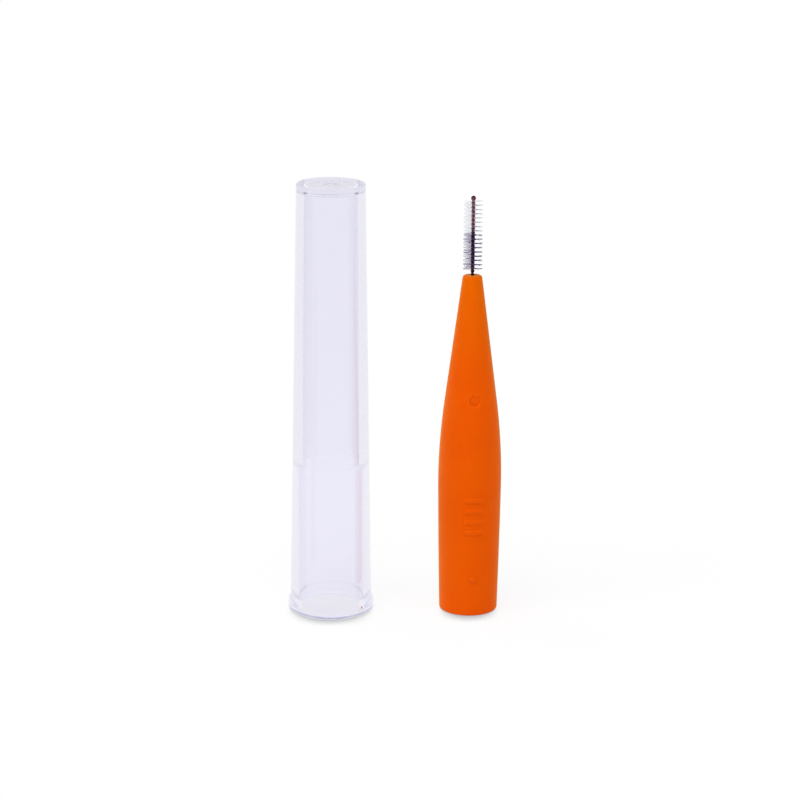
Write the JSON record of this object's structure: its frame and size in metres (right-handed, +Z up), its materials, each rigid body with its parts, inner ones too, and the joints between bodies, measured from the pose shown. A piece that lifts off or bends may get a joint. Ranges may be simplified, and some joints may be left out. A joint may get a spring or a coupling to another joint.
{
  "type": "interdental brush",
  "caption": "Interdental brush: a twisted wire with radial filaments in a tapered grip handle, with its clear tubular cap standing beside it.",
  "frame": {"origin": "centre of the flat base that the handle stands on", "axes": "+Z up along the handle from its base to the brush tip; +X to the right as seen from the front, so the cap stands on the -X side; -Y is the front, with the grip bars"},
  "size_m": [0.0336, 0.0136, 0.0685],
  "materials": {
    "grip_sleeve": "satin moulded orange elastomer",
    "core_plastic": "moulded orange plastic, a little deeper than the sleeve",
    "twisted_wire": "dark drawn stainless wire",
    "dark_filament": "dark nylon filament",
    "white_filament": "white translucent nylon filament",
    "clear_cap": "clear polished plastic with a faint lavender cast"
  },
  "bodies": {
    "brush": {"grip": "grip_sleeve", "core": "core_plastic", "wire": "twisted_wire", "filaments_dark": "dark_filament", "filaments_white": "white_filament"},
    "cap": {"cap": "clear_cap"}
  },
  "joints": [
    {"name": "cap_lift", "type": "slide", "parent": "brush", "child": "cap", "axis": [0, 0, 1], "range_m": [0, 0.072]}
  ]
}
